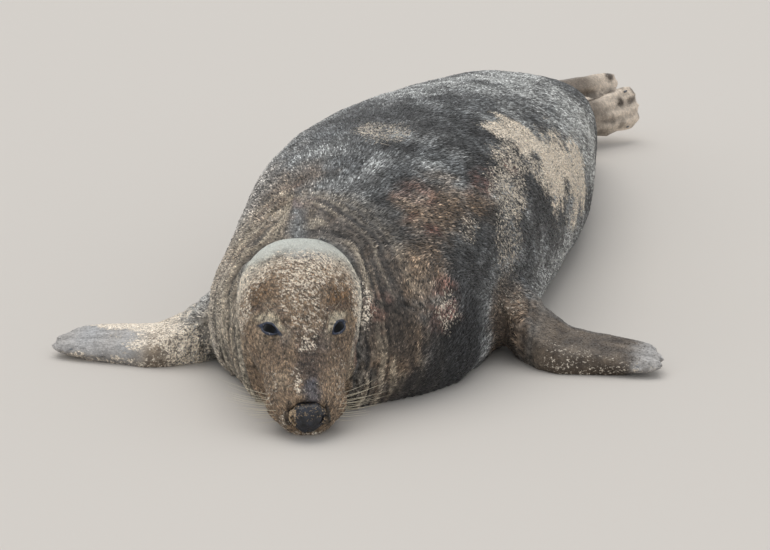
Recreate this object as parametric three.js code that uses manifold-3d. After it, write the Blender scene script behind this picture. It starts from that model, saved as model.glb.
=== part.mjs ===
// A grey seal bull at rest on a level surface: chin on the ground, fore flippers spread, hind
// flippers trailing. Millimetres, +Z up. The seal lies along Y with its head towards -Y, and what
// touches the ground is flat at z = 0.
import * as THREE from "three";
import { mergeVertices } from "three/addons/utils/BufferGeometryUtils.js";
import Module from "manifold-3d";

const wasm = await Module();
wasm.setup();

// ---- Driving dimensions --------------------------------------------------------------------
const GAP = 0.4; // between neighbouring pieces
const REACH = 3000; // larger than the animal, for cutting blocks

const NOSE_TIP = [54, -1156, 32];
const HEAD_TURN = 23.4; // degrees that the head is turned towards the seal's left
const MUZZLE_DROP = 33; // degrees that the muzzle points down

// In the head's own frame. radii go across, along and up; roll turns a brow to the skull's side.
const EYE = { radius: 21, spacing: 108, behindNose: 172, height: 49 };
const BROW = { radii: [30, 22, 12], at: [54, 192, 67], roll: 30 };
const WHISKER_PAD = { radii: [31, 42, 31], at: [44, 62, -15] };
const NOSE = { width: 72, depth: 42, height: 62, behindTip: 15, centreHeight: 1 };
const NOSTRIL = { radii: [4, 13, 11], at: [25, -1, 5], roll: 30 };
const MOUTH = { below: 42, corner: 122, rise: 4, width: 172 }; // its corner is behind the nose tip

// Each digit is [y at its root, x at its tip, y at its tip] in its flipper's own frame: origin at
// the wrist or ankle, +X to the tips, +Y from the leading edge to the trailing one.
const FORE_DIGITS = [
  [-74, 200, -54],
  [-40, 211, -26],
  [-4, 206, 4],
  [34, 186, 34],
  [72, 154, 60],
];
const HIND_DIGITS = [
  [-48, 224, -46],
  [-22, 233, -22],
  [4, 237, 4],
  [26, 241, 32],
  [44, 240, 60],
];
const TIP_STARTS = 0.86; // share of a flipper's reach past which its end rounds off
const CORNER_CUT = 0.14; // share of its length by which its outer corners are cut back

// shows is what reaches past the flipper's edge.
const FORE_CLAW = { length: 34, radius: 5, shows: 1 };
const HIND_CLAW = { length: 20, radius: 4, shows: 1 };
const CLAW_INSET = 0.06; // of the flipper's width, for the outer claws
const CLAW_SEAT = 0.55; // of the tip's thickness, above the flipper's middle
const CLAW_DROP = 0.3; // of its length, from its root to its point

// ---- Materials -----------------------------------------------------------------------------
function finish(color, roughness) {
  return new THREE.MeshStandardMaterial({ color, roughness, metalness: 0 });
}
const darkCoat = finish(0x5b5956, 0.85);
const headCoat = finish(0x8a7a66, 0.8);
const flipperCoat = finish(0x9a9288, 0.8);
const noseSkin = finish(0x2b2b30, 0.45);
const eyeSurface = finish(0x0d0f14, 0.08);
const clawHorn = finish(0x3a3733, 0.5);

// ---- Solids --------------------------------------------------------------------------------
const MERGE = 1e-3; // points nearer than this are one

function solidFrom(geometry) {
  geometry.deleteAttribute("normal");
  geometry.deleteAttribute("uv");
  const merged = mergeVertices(geometry, MERGE);
  const corners = merged.index.array;
  const triangles = [];
  for (let i = 0; i < corners.length; i += 3) {
    const [a, b, c] = corners.slice(i, i + 3);
    if (a !== b && b !== c && c !== a) triangles.push(a, b, c);
  }
  return new wasm.Manifold(
    new wasm.Mesh({
      numProp: 3,
      vertProperties: merged.attributes.position.array,
      triVerts: new Uint32Array(triangles),
    }),
  );
}

function geometryFrom(solid) {
  const { vertProperties, triVerts } = solid.getMesh();
  return new THREE.BufferGeometry()
    .setAttribute("position", new THREE.BufferAttribute(vertProperties, 3))
    .setIndex(new THREE.BufferAttribute(triVerts, 1));
}

const radians = THREE.MathUtils.degToRad;
const { lerp } = THREE.MathUtils;

// Turns are in degrees: pitch about X first, then roll about Y, then yaw about Z.
function placement(position, { pitch = 0, roll = 0, yaw = 0 } = {}) {
  const turn = new THREE.Euler(radians(pitch), radians(roll), radians(yaw), "ZYX");
  return new THREE.Matrix4().makeRotationFromEuler(turn).setPosition(...position);
}

const VERTICAL = new THREE.Vector3(0, 0, 1);
const ELLIPSE = 2; // the squareness of a plain ellipse; more fills its corners
const NEAR_END = 0.001; // as near to a curve's end as its direction is read

function squared(value, squareness) {
  return Math.sign(value) * Math.abs(value) ** (ELLIPSE / squareness);
}

// A closed surface: pointOf gives the point at an angle, which goes once round, and at t, which
// goes from one end to the other. At each end the ring closes to a point or a line.
function wrapped(around, along, pointOf) {
  const geometry = new THREE.PlaneGeometry(1, 1, around, along);
  const { position, uv } = geometry.attributes;
  for (let i = 0; i < position.count; i++) {
    const angle = (2 * Math.PI * (Math.round(uv.getX(i) * around) % around)) / around;
    position.setXYZ(i, ...pointOf(angle, uv.getY(i)));
  }
  return geometry;
}

// A closed body lofted through sections. Each has a centre at [x, y, z], the half width, the height
// above the centre (up) and the depth below it (down). Its top and base may be squarer than an
// ellipse.
function loft(sections, around, along) {
  const curve = (values) => {
    return new THREE.CatmullRomCurve3(sections.map((s) => new THREE.Vector3(...values(s))));
  };
  const centre = curve((s) => s.at);
  const size = curve((s) => [s.half, s.up, s.down]);
  const corners = curve((s) => [s.top ?? ELLIPSE, s.base ?? ELLIPSE, 0]);
  return wrapped(around, along, (angle, t) => {
    const isEnd = t === 0 || t === 1;
    const [half, up, down] = isEnd ? [0, 0, 0] : size.getPoint(t).toArray();
    const [top, base] = corners.getPoint(t).toArray();
    const forward = centre.getTangent(THREE.MathUtils.clamp(t, NEAR_END, 1 - NEAR_END));
    const side = new THREE.Vector3().crossVectors(VERTICAL, forward).normalize();
    const rise = new THREE.Vector3().crossVectors(forward, side);
    const isTop = angle <= Math.PI;
    const squareness = isTop ? top : base;
    return centre
      .getPoint(t)
      .addScaledVector(side, half * squared(Math.cos(angle), squareness))
      .addScaledVector(rise, (isTop ? up : down) * squared(Math.sin(angle), squareness))
      .toArray();
  });
}

const pointAt = (...at) => ({ at, half: 0, up: 0, down: 0 });

// A ball of three radii, rolled about its long axis by some degrees before it is placed.
function ball(radii, [x, y, z], roll = 0, around = 12) {
  const rings = Math.ceil(0.7 * around);
  const unit = new THREE.SphereGeometry(1, around, rings).scale(...radii);
  return unit.rotateY(radians(roll)).translate(x, y, z);
}

// The half of space beyond a plane, as a block.
function beyond(position, normal) {
  const facing = new THREE.Vector3(...normal).normalize();
  const turn = new THREE.Quaternion().setFromUnitVectors(VERTICAL, facing);
  const block = new THREE.BoxGeometry(REACH, REACH, REACH).translate(0, 0, REACH / 2);
  return solidFrom(block.applyQuaternion(turn).translate(...position));
}

const aboveGround = beyond([0, 0, 0], [0, 0, 1]);

// ---- Head, in its own frame: origin at the nose tip, +Y backwards along the head, +Z up ------
const headPlace = placement(NOSE_TIP, { pitch: MUZZLE_DROP, yaw: HEAD_TURN });
const inHead = (geometry) => solidFrom(geometry.applyMatrix4(headPlace));

const HEAD_SECTIONS = [
  { at: [0, -3, -12], half: 0, up: 0, down: 0 },
  { at: [0, 5, -11], half: 37, up: 27, down: 38 },
  { at: [0, 28, -10], half: 58, up: 43, down: 52, top: 2.2 },
  { at: [0, 70, -8], half: 71, up: 55, down: 64, top: 2.2, base: 2.1 },
  { at: [0, 115, -6], half: 77, up: 67, down: 74, top: 2.1, base: 2.2 },
  { at: [0, 165, -2], half: 97, up: 80, down: 82 },
  { at: [0, 215, 0], half: 113, up: 95, down: 92 },
  { at: [0, 270, 0], half: 120, up: 101, down: 100, top: 2.2 },
  { at: [0, 320, -3], half: 119, up: 96, down: 96, top: 2.3 },
  { at: [0, 360, -9], half: 105, up: 78, down: 82, top: 2.3 },
  { at: [0, 391, -24], half: 0, up: 0, down: 0 },
];

function headForm() {
  return inHead(loft(HEAD_SECTIONS, 28, 22));
}

// What the head has on each side: side is 1 on the seal's left and -1 on its right.
function onSide({ radii, at: [x, y, z], roll = 0 }, side, around) {
  return inHead(ball(radii, [side * x, y, z], side * roll, around));
}

function eyeBall(side, grown = 0) {
  const radius = EYE.radius + grown;
  const at = [EYE.spacing / 2, EYE.behindNose, EYE.height];
  return onSide({ radii: [radius, radius, radius], at }, side);
}

function nosePad(grown = 0) {
  const radii = [NOSE.width, NOSE.depth, NOSE.height].map((size) => size / 2 + grown);
  return inHead(ball(radii, [0, NOSE.behindTip, NOSE.centreHeight]));
}

// The block of space below the mouth's line, back to its corner. grown moves its faces outwards.
function jawSpace(grown) {
  const { below, corner, rise, width } = MOUTH;
  const block = new THREE.BoxGeometry(width + 2 * grown, REACH, REACH);
  block.translate(0, corner + grown - REACH / 2, grown - below - REACH / 2);
  return inHead(block.rotateX(radians(-rise)));
}

// ---- Neck and trunk ------------------------------------------------------------------------
// widest is the height above the ground at which the section is widest. The section reaches below
// the ground, where the cut at z = 0 leaves the flat that it rests on.
const BELOW_GROUND = 1.3; // times the height of the widest place
function trunkSection(x, y, half, height, widest, top, base = 3) {
  const down = BELOW_GROUND * widest;
  return { at: [x, y, widest], half, up: height - widest, down, top, base };
}

const TRUNK_SECTIONS = [
  pointAt(-12, -1050, 58),
  trunkSection(-14, -1010, 106, 150, 62, 2.4),
  trunkSection(-17, -950, 160, 202, 76, 2.3, 3.2),
  trunkSection(-18, -885, 216, 250, 90, 2.2, 3.8),
  trunkSection(-22, -795, 256, 304, 104, 2.1, 4.4),
  trunkSection(-24, -695, 266, 346, 118, 2.15, 4.4),
  trunkSection(-28, -575, 280, 383, 130, 2.3, 4.4),
  trunkSection(-32, -430, 296, 398, 138, 2.5, 3.6),
  trunkSection(-42, -260, 297, 396, 140, 2.35),
  trunkSection(-56, -80, 291, 381, 138, 2.1),
  trunkSection(-65, 100, 279, 356, 135, 2.1),
  trunkSection(-67, 280, 250, 327, 129, 2.2),
  trunkSection(-66, 440, 208, 295, 116, 2.4),
  trunkSection(-63, 590, 164, 253, 100, 2.5),
  trunkSection(-64, 720, 121, 207, 76, 2.45),
  trunkSection(-66, 820, 84, 160, 60, 2.35),
  pointAt(-68, 890, 60),
];

// grown is added all round, for the hollows that the limbs keep for the trunk.
function trunkForm(grown = 0) {
  const sections = TRUNK_SECTIONS.map((section) => {
    const { half, up, down } = section;
    return { ...section, half: half + grown, up: up + grown, down: down + grown };
  });
  return solidFrom(loft(sections, 30, 28));
}

function tailForm(grown = 0) {
  const sections = [
    pointAt(-84, 780, 114),
    { at: [-76, 822, 120], half: 36 + grown, up: 22 + grown, down: 24 + grown },
    { at: [-48, 862, 128], half: 30 + grown, up: 15 + grown, down: 15 + grown },
    { at: [-12, 888, 132], half: 20 + grown, up: 10 + grown, down: 10 + grown },
    pointAt(14, 902, 130),
  ];
  return solidFrom(loft(sections, 14, 10));
}

// Where the trunk is parted, from the head backwards.
const CUTS = {
  neck: { at: [-25, -812, 0], normal: [-0.36, 0.933, 0] },
  chest: { at: [-30, -640, 0], normal: [-0.1, 1, 0] },
  belly: { at: [-45, -330, 0], normal: [0.02, 1, 0] },
  rump: { at: [-68, 330, 0], normal: [-0.02, 1, 0] },
};

// What lies between two cuts, either of which may be left out.
function between(solid, from, to) {
  const parted = from ? solid.intersect(beyond(from.at, from.normal)) : solid;
  if (!to) return parted;
  const start = new THREE.Vector3(...to.normal).setLength(-GAP).add(new THREE.Vector3(...to.at));
  return parted.subtract(beyond(start.toArray(), to.normal));
}

// ---- Flippers, each in its own frame: origin at the wrist or ankle, +X to the tips ------------
// Values at each digit, joined by a smooth curve. share goes across the flipper from 0 at the
// leading edge to 1.
function acrossDigits(digits, share) {
  const curve = new THREE.CatmullRomCurve3(digits.map((d) => new THREE.Vector3(...d)));
  return curve.getPoint(share).toArray();
}

// The smooth path from the shoulder or hip, through the wrist or ankle at a third of it, to the tip.
function alongLimb(shoulder, wrist, tip) {
  const points = [shoulder, wrist, wrist.clone().lerp(tip, 0.5), tip];
  return new THREE.CatmullRomCurve3(points);
}

// A flipper from inside the body to its tips. reach goes from -1 at the shoulder or hip, through 0
// at the wrist or ankle, to 1 at the tips. The flipper is thick along each digit, and thinner and
// shorter in the web between two.
function flipperPoint(spec, share, reach) {
  const { digits, side, arm, thick, tip, web } = spec;
  const [rootY, tipX, tipY] = acrossDigits(digits, share);
  const inWeb = Math.sin(Math.PI * share * (digits.length - 1)) ** 4;
  const edge = Math.abs(2 * share - 1);
  const length = tipX * (1 - web.notch * inWeb - CORNER_CUT * edge ** 10);
  const along = reach > 0 ? (1 + 2 * reach) / 3 : (1 + reach) / 3;
  const shoulder = new THREE.Vector3(-arm.length, lerp(arm.lead, arm.trail, share), arm.rise);
  const wrist = new THREE.Vector3(0, rootY, 0);
  const path = alongLimb(shoulder, wrist, new THREE.Vector3(length, tipY, 0));
  const thickness = [arm.thick, thick, tip].map((value) => new THREE.Vector3(value, 0, 0));
  const body = alongLimb(...thickness).getPoint(along).x;
  const pastStart = Math.max(0, (reach - TIP_STARTS) / (1 - TIP_STARTS));
  const rounding = Math.sqrt(1 - pastStart ** 2) * Math.sqrt(1 - edge ** 4);
  const webbed = 1 - web.thinning * inWeb * THREE.MathUtils.clamp(2 * reach, 0, 1);
  const { x, y, z } = path.getPoint(along);
  return { x, y: y * side, z, thick: body * rounding * webbed };
}

// place turns each flipper's frame into the body's. dorsal is 1 where the claws lie on the frame's
// upper face.
const FLIPPERS = [
  {
    name: "fore_flipper_left",
    side: 1,
    dorsal: 1,
    digits: FORE_DIGITS,
    claw: FORE_CLAW,
    thick: 38,
    tip: 14,
    arm: { length: 200, lead: 70, trail: 250, rise: 80, thick: 100 },
    web: { notch: 0.05, thinning: 0.15 },
    place: placement([352, -598, 28], { pitch: 14, yaw: 2 }),
  },
  {
    name: "fore_flipper_right",
    side: -1,
    dorsal: 1,
    digits: FORE_DIGITS,
    claw: FORE_CLAW,
    thick: 38,
    tip: 14,
    arm: { length: 200, lead: 20, trail: 210, rise: 80, thick: 100 },
    web: { notch: 0.05, thinning: 0.15 },
    place: placement([-368, -812, 25], { pitch: -10, yaw: 190 }),
  },
  {
    name: "hind_flipper_left",
    side: 1,
    dorsal: 1,
    digits: HIND_DIGITS,
    claw: HIND_CLAW,
    thick: 28,
    tip: 22,
    arm: { length: 110, lead: -34, trail: 34, rise: 0, thick: 40 },
    web: { notch: 0.04, thinning: 0.42 },
    place: placement([-70, 862, 52], { pitch: 78, roll: -6, yaw: 55 }),
  },
  {
    name: "hind_flipper_right",
    side: 1,
    dorsal: -1,
    digits: HIND_DIGITS,
    claw: HIND_CLAW,
    thick: 32,
    tip: 22,
    arm: { length: 130, lead: -34, trail: 52, rise: 110, thick: 48 },
    web: { notch: 0.04, thinning: 0.42 },
    place: placement([-136, 870, 120], { pitch: 96, roll: 5, yaw: 54 }),
  },
];

const REACHES = [1, 0.975, 0.9, 0.7, 0.4, 0.1, -0.15, -0.4, -0.7, -1]; // at each ring
const FORE_AROUND = 22;
const HIND_AROUND = 32;

function flipperForm(spec) {
  const around = spec.digits === HIND_DIGITS ? HIND_AROUND : FORE_AROUND;
  const form = wrapped(around, REACHES.length - 1, (angle, t) => {
    const reach = REACHES[Math.round(t * (REACHES.length - 1))];
    const share = 1 - Math.abs(angle / Math.PI - 1);
    const face = angle < Math.PI ? spec.side : -spec.side;
    const { x, y, z, thick } = flipperPoint(spec, share, reach);
    return [x, y, z + (t === 1 ? 0 : face * thick)];
  });
  return solidFrom(form.applyMatrix4(spec.place));
}

// A claw along the end of one digit, half sunk in its upper face and arched down to its point.
const CLAW_PARTS = [0, 0.2, 0.6, 1]; // of its length, at each section
const CLAW_TAPER = [0, 1.06, 0.78, 0]; // times its radius, at each section
const CLAW_HEIGHT = 1.2; // times its width

function clawForm(spec, index, grown = 0) {
  const { length, radius, shows } = spec.claw;
  const share = index / (spec.digits.length - 1);
  const inset = THREE.MathUtils.clamp(share, CLAW_INSET, 1 - CLAW_INSET);
  const seat = flipperPoint(spec, inset, 0.8);
  const tip = flipperPoint(spec, inset, 1);
  const heading = new THREE.Vector3(tip.x - seat.x, tip.y - seat.y, 0).normalize();
  const start = new THREE.Vector3(tip.x, tip.y, tip.z);
  start.addScaledVector(heading, shows - length);
  const sections = CLAW_PARTS.map((part, i) => {
    const { x, y, z } = start.clone().addScaledVector(heading, (length + grown) * part);
    const arch = spec.tip * CLAW_SEAT - CLAW_DROP * length * part * part;
    const half = CLAW_TAPER[i] === 0 ? 0 : radius * CLAW_TAPER[i] + grown;
    const tall = half * CLAW_HEIGHT;
    return { at: [x, y, z + spec.dorsal * arch], half, up: tall, down: tall };
  });
  return solidFrom(loft(sections, 6, 4).applyMatrix4(spec.place));
}

// ---- The seal's pieces ---------------------------------------------------------------------
const CENTRE = [5, 50, 0]; // moves the middle of the outline on the ground to the origin

const seal = new THREE.Group();
seal.name = "grey_seal";
function piece(name, solid, material) {
  const placed = solid.intersect(aboveGround).translate(CENTRE);
  const mesh = new THREE.Mesh(geometryFrom(placed), material);
  mesh.name = name;
  seal.add(mesh);
}

const SIDES = [
  ["left", 1],
  ["right", -1],
];
const trunk = trunkForm();
const trunkSpace = trunkForm(GAP);
const bothSides = (make) => wasm.Manifold.union(SIDES.map(([, side]) => make(side)));
const pads = bothSides((side) => onSide(WHISKER_PAD, side).add(onSide(BROW, side)));
const hollows = nosePad(GAP).add(bothSides((side) => eyeBall(side, GAP)));
const skull = headForm().add(pads).subtract(hollows);
const nostrils = bothSides((side) => onSide(NOSTRIL, side, 8));
const throat = between(trunk, null, CUTS.neck);

piece("head", skull.add(throat).subtract(jawSpace(0)), headCoat);
piece("lower_jaw", skull.intersect(jawSpace(-GAP)), headCoat);
piece("nose", nosePad().subtract(nostrils), noseSkin);
for (const [name, side] of SIDES) piece(`eye_${name}`, eyeBall(side), eyeSurface);
piece("neck", between(trunk, CUTS.neck, CUTS.chest), darkCoat);
piece("chest", between(trunk, CUTS.chest, CUTS.belly), darkCoat);
piece("belly", between(trunk, CUTS.belly, CUTS.rump), darkCoat);
piece("rump", between(trunk, CUTS.rump, null), darkCoat);
piece("tail", tailForm().subtract(trunkSpace), darkCoat);
for (const spec of FLIPPERS) {
  const claws = spec.digits.map((_, i) => clawForm(spec, i, GAP));
  const spaces = wasm.Manifold.union([trunkSpace, tailForm(GAP), ...claws]);
  piece(spec.name, flipperForm(spec).subtract(spaces), flipperCoat);
  const clawName = spec.name.replace("flipper", "claw");
  spec.digits.forEach((_, i) => piece(`${clawName}_${i + 1}`, clawForm(spec, i), clawHorn));
}

export default seal;
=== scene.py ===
"""A life-size grey seal bull at rest: skin, coat, eyes, nose, claws and whiskers, dressed over its solids."""

import math

import bmesh
import bpy
import numpy as np
from bpy.props import FloatProperty, FloatVectorProperty, IntProperty, PointerProperty
from mathutils import Euler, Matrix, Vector


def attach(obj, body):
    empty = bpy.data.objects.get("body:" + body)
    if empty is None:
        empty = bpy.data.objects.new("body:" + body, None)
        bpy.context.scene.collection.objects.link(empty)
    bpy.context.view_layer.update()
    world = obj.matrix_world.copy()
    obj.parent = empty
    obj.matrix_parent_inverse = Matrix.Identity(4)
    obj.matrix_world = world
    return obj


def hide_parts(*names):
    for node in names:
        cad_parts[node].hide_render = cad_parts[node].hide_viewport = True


bl_info = {
    "name": "Grey Seal Bull",
    "version": (1, 0, 0),
    "blender": (4, 5, 0),
    "location": "3D View > Sidebar > Grey Seal",
    "description": "Builds the skin, coat, eyes, nose, claws and whiskers of a resting grey seal",
    "category": "Object",
}

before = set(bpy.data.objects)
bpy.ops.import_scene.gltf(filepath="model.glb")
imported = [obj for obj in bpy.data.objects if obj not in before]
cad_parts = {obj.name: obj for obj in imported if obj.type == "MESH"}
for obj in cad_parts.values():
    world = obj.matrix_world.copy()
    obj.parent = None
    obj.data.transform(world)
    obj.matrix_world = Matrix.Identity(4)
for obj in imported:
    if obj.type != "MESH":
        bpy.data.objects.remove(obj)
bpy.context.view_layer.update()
BODY = "root"


# ---- Sizes and places, in metres and degrees -----------------------------------------------
MM = 0.001
FLOOR_LEVEL = 0.4 * MM
SKIN_TRIANGLES = 196000

# The head's own frame: its origin is the nose tip, x to the seal's left, y backwards, z up.
NOSE_TIP = np.array((0.059, -1.106, 0.032))
HEAD_TURN = 23.4
MUZZLE_DROP = 33.0
HEAD_AXES = np.array(Euler((math.radians(MUZZLE_DROP), 0, math.radians(HEAD_TURN))).to_matrix())
HEAD_MIDDLE = -0.01  # height of the head's middle
NOSE_MIDDLE = np.array((0, 0.017, 0.005))
NOSE_REACH = np.array((0.036, 0.025, 0.031))
NOSTRIL_HEIGHT = 0.006
EAR_BEHIND_NOSE = 0.248
EAR_HEIGHT = 0.018

# Where the face ends: angles round the head from its crown, towards the seal's left, and the reach there.
FACE_END_ANGLES = (-180, -145, -117, -107, -81, -66, -48, -20, 14, 47, 54, 60, 65, 70, 79, 103, 128, 180)
FACE_END_REACHES = (
    0.237, 0.237, 0.248, 0.270, 0.286, 0.310, 0.323, 0.331, 0.330,
    0.328, 0.313, 0.301, 0.262, 0.228, 0.196, 0.170, 0.172, 0.200,
)

EYE_MIDDLE = (0.054, 0.172, 0.049)  # the left one, and the right one mirrors it
EYE_RADIUS = 0.021
EYE_OUTWARD = (0.55, -0.30, 0.78)
EYE_SLITS = {1: (-0.62, -0.80, 0.12), -1: (0.78, -0.52, 0.12)}  # towards the inner corner, left and right
EYE_HALF_LENGTHS = {1: 0.0170, -1: 0.0205}
EYE_NEAR = 0.06  # how far from an eye's middle its lids are looked for
EYEBALL_GAP = 0.3 * MM  # how far the eyeball lies inside its solid
UPPER_LID_HEIGHT = 7.8 * MM  # the lids' heights over and under the slit's middle line
LOWER_LID_HEIGHT = 7.4 * MM
LID_THICKNESS = 1.0 * MM

# A flipper's own frame: its origin is the wrist or ankle, x runs to the tips, z out of one face.
FLIPPERS = {
    "fore_flipper_left": {"at": (0.357, -0.548, 0.028), "turn": (14, 0, 2), "fore": True},
    "fore_flipper_right": {"at": (-0.363, -0.762, 0.025), "turn": (-10, 0, 190), "fore": True},
    "hind_flipper_left": {"at": (-0.065, 0.912, 0.052), "turn": (78, -6, 55), "fore": False},
    "hind_flipper_right": {"at": (-0.131, 0.920, 0.120), "turn": (96, 5, 54), "fore": False},
}
TAIL_MIDDLE = (-0.03, 0.93, 0.13)
FLESH_NODES = ("head", "lower_jaw", "neck", "chest", "belly", "rump", "tail", *FLIPPERS)
CLAW_NODES = sorted(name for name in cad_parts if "_claw_" in name)
CLAW_SHARES = np.array((0.80, 0.75, 0.70))  # of the solid's length, width and height

WHISKER_RADIUS = 0.45 * MM
WHISKER_STEPS = 9
WHISKER_ROWS, WHISKER_RANKS, BROW_WHISKERS = 4, 4, 3
TUFT_SPREAD = 0.22  # how far the tufts turn from the coat's lie, in radians

CAMERA_PLACE = (2.021, -6.383, 2.05)
CAMERA_BELOW_LEVEL = 17.2
CAMERA_TURN = 19
FOCAL_LENGTH = 3360 / 770  # in widths of the view
FLOOR_SIZE = 40
SKY_STRENGTH = 0.72
SUN_STRENGTH = 1.25
SUN_SPREAD = 55
SUN_TILTS = (-18, -14)  # about x and y


# ---- Numbers on arrays of points ------------------------------------------------------------
def smooth_step(value, low, high):
    """0 below low and 1 above high, or the other way round where high is the smaller."""
    share = np.clip((value - low) / (high - low), 0.0, 1.0)
    return share * share * (3.0 - 2.0 * share)


def hill(distance, width):
    """1 at no distance, and falling to nothing over two widths."""
    return np.exp(-((distance / width) ** 2))


def corner_values(cell, seed):
    """A number from -1 to 1 for each whole-numbered cell, the same on every run."""
    mixed = (cell @ np.array((374761393, 668265263, 1440662683)) + seed * 974711) & 0xFFFFFFFF
    mixed = ((mixed ^ (mixed >> 13)) * 1274126177) & 0xFFFFFFFF
    return ((mixed ^ (mixed >> 16)) & 0xFFFF) / 32767.5 - 1.0


def drift(points, size, seed):
    """Smooth noise from -1 to 1 with features of the given size."""
    scaled = points / size
    cell = np.floor(scaled).astype(np.int64)
    share = scaled - cell
    share = share * share * (3.0 - 2.0 * share)
    total = np.zeros(len(points))
    for step in np.ndindex(2, 2, 2):
        weight = np.prod(np.where(step, share, 1.0 - share), axis=1)
        total += weight * corner_values(cell + np.array(step), seed)
    return total


def unit(vectors):
    """The vectors, each of length one."""
    return vectors / np.maximum(np.linalg.norm(vectors, axis=-1, keepdims=True), 1e-9)


def waves(distance, spacing):
    """A row of crests (1) and hollows (-1), with a crest at no distance."""
    return np.cos(2 * np.pi * distance / spacing)


# ---- Places on the body ---------------------------------------------------------------------
def in_head(points):
    """Points in the head's own frame."""
    return (points - NOSE_TIP) @ HEAD_AXES


def out_of_head(local):
    """Points of the head's frame, in the part's."""
    return NOSE_TIP + local @ HEAD_AXES.T


def flipper_axes(spec):
    """A flipper's axes, as the columns of a matrix."""
    return np.array(Euler([math.radians(a) for a in spec["turn"]]).to_matrix())


def in_flipper(points, spec):
    """Points in a flipper's own frame."""
    return (points - np.array(spec["at"])) @ flipper_axes(spec)


def past_face(local):
    """How far a point lies behind the face's edge, and the angle round the head; negative on the face."""
    x, y, z = local.T
    up = z - HEAD_MIDDLE
    angle = np.degrees(np.arctan2(x, up))
    nape = np.clip(2.0 * (y - 0.37), 0.0, 0.12) * hill(x, 0.10)
    reach = np.hypot(x, up) + 0.6 * y + nape
    return reach - np.interp(angle, FACE_END_ANGLES, FACE_END_REACHES), angle


def flipper_share(points, spec):
    """1 on a flipper and 0 on the trunk, fading over the arm."""
    x, y, z = in_flipper(points, spec).T
    near = smooth_step(np.abs(y), 0.16, 0.12) * smooth_step(np.abs(z), 0.10, 0.07)
    return smooth_step(x, -0.07, 0.02) * near


def any_flipper(points):
    """1 on the flippers and 0 on the trunk."""
    return np.max([flipper_share(points, spec) for spec in FLIPPERS.values()], axis=0)


# Marks on the coat, in millimetres: each one's middle, its reach along x, y and z, and its strength.
MARKS = {
    "sand": (
        (165, -170, 335, 80, 120, 80, 1.15),
        (215, -70, 265, 90, 200, 120, 1.15),
        (225, 60, 195, 80, 170, 100, 1.05),
        (190, -330, 335, 45, 80, 50, 0.80),
        (222, -420, 290, 50, 80, 70, 0.80),
        (244, -500, 220, 40, 60, 60, 0.65),
        (250, -545, 140, 45, 60, 80, 0.52),
        (-40, -440, 392, 80, 65, 50, 0.70),
        (-235, -800, 160, 70, 130, 150, 0.62),
        (-330, -770, 50, 110, 110, 60, 0.95),
        (-170, -720, 290, 50, 60, 60, 0.45),
        (215, -780, 160, 30, 30, 45, 0.66),
        (200, -620, 280, 25, 60, 40, 0.62),
    ),
    # Pale coat; on the top of the back and rump these marks are also a painted sheen.
    "pale": (
        (-235, -820, 140, 60, 130, 140, 0.80),
        (262, -100, 80, 60, 330, 70, 0.50),
        (165, 330, 226, 110, 220, 120, 0.95),
        (20, 360, 330, 160, 240, 80, 0.95),
        (-120, 60, 340, 120, 300, 90, 0.55),
        (-40, 90, 370, 200, 110, 70, 0.50),
        (-300, -600, 170, 130, 340, 200, 1.00),
        (-230, -300, 300, 120, 260, 110, 0.45),
    ),
    "pink": (
        (110, -632, 331, 45, 45, 30, 0.50),
        (120, -708, 300, 14, 22, 22, 1.00),
        (156, -698, 282, 22, 18, 18, 1.00),
        (202, -356, 326, 18, 22, 18, 0.90),
        (201, -788, 181, 36, 45, 55, 0.70),
        (-138, -708, 309, 90, 70, 50, 0.45),
        (178, -500, 320, 25, 60, 35, 0.50),
        (110, -880, 190, 26, 34, 50, 0.85),
    ),
    "brown": (
        (150, -640, 310, 70, 100, 70, 0.75),
        (160, -790, 240, 60, 80, 80, 0.80),
        (150, -880, 110, 60, 60, 80, 0.75),
        (195, -545, 300, 40, 50, 40, 0.80),
        (-230, -640, 230, 110, 260, 140, 0.35),
        (-160, -640, 330, 80, 80, 60, 0.40),
        (255, -560, 70, 60, 90, 80, 0.70),
    ),
    "black": (
        (229, -751, 60, 70, 130, 110, 1.00),
        (140, -890, 170, 40, 55, 85, 0.75),
        (193, -818, 20, 100, 100, 60, 1.00),
        (215, -690, 200, 35, 70, 90, 0.80),
        (120, -840, 240, 30, 60, 60, 0.60),
        (60, -760, 300, 90, 60, 40, 0.60),
        (175, -445, 342, 35, 80, 45, 0.85),
        (225, -560, 260, 35, 60, 60, 0.75),
        (248, -330, 240, 45, 110, 70, 0.80),
        (257, -190, 165, 40, 110, 50, 0.60),
        (-79, -300, 393, 160, 140, 80, 0.55),
        (56, -347, 392, 80, 120, 50, 0.55),
    ),
}

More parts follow.
